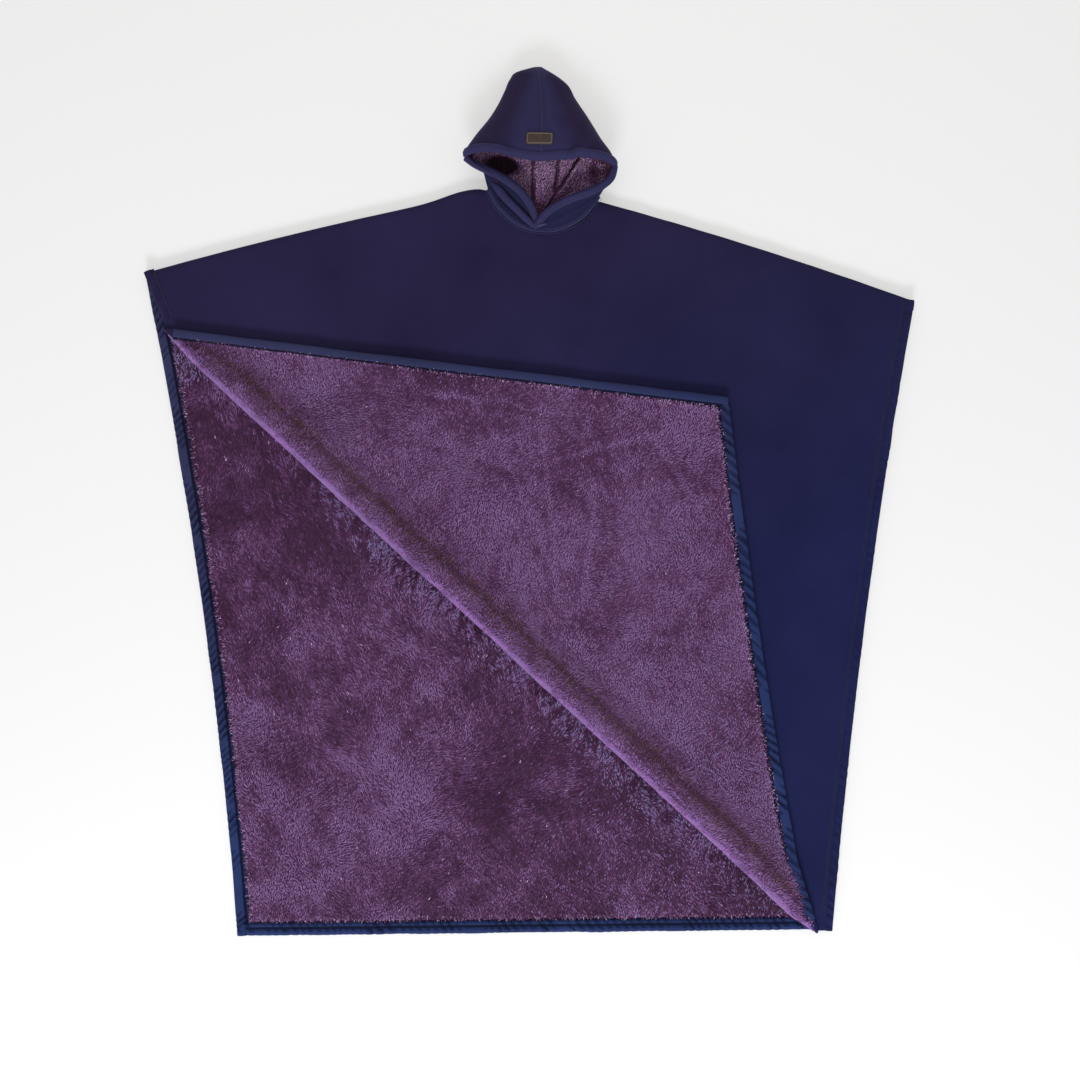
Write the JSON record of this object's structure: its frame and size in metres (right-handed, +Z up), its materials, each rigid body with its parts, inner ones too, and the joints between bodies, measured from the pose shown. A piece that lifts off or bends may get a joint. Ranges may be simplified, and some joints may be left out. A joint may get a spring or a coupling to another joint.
{
  "type": "hooded poncho blanket",
  "caption": "Plush-lined hooded blanket poncho laid flat, front up, with one front corner folded back over a diagonal; open sides, bound edges, blank leather label.",
  "frame": {"origin": "middle of the bounding box, on the floor that it lies on", "axes": "+Z up off the floor, +Y from the hem to the hood's peak, +X towards the side whose front is not folded"},
  "size_m": [1.543, 1.742, 0.0955],
  "materials": {
    "fleece_shell": "brushed knit fleece, matt",
    "plush_lining": "long pile plush with a visible nap",
    "turned_binding": "the shell cloth turned over the edge, slightly puckered",
    "leather_label": "plain smooth leather, satin, blank",
    "thread": "polyester sewing thread"
  },
  "bodies": {
    "blanket": {"back_shell": "fleece_shell", "front_shell": "fleece_shell", "left_shoulder_seam": "fleece_shell", "right_shoulder_seam": "fleece_shell", "hood_front_left_shell": "fleece_shell", "hood_front_right_shell": "fleece_shell", "back_lining": "plush_lining", "front_lining": "plush_lining", "hood_front_left_lining": "plush_lining", "hood_front_right_lining": "plush_lining", "back_hem_binding": "turned_binding", "back_left_binding": "turned_binding", "back_right_binding": "turned_binding", "front_hem_binding": "turned_binding", "front_left_binding": "turned_binding", "front_right_binding": "turned_binding", "crossover_tack": "thread", "front_right_topstitch": "thread", "neck_seam_tape": "thread"},
    "front_flap": {"flap_shell": "fleece_shell", "flap_lining": "plush_lining", "flap_hem_binding": "turned_binding", "flap_left_binding": "turned_binding"},
    "hood": {"hood_shell_left": "fleece_shell", "hood_shell_right": "fleece_shell", "hood_lining_left": "plush_lining", "hood_lining_right": "plush_lining", "hood_centre_seam": "fleece_shell", "hood_brim_band": "turned_binding", "leather_label": "leather_label", "label_stitching": "thread"}
  },
  "joints": [
    {"name": "front_corner_fold", "type": "hinge", "parent": "blanket", "child": "front_flap", "pos_m": [-0.726, 0.347, 0.02075], "axis": [0.7346, -0.6785, 0], "range_deg": [0, 180]},
    {"name": "hood_at_neck", "type": "hinge", "parent": "blanket", "child": "hood", "pos_m": [0.022, 0.609, 0.021], "axis": [1, 0, 0], "range_deg": [0, 120]}
  ]
}
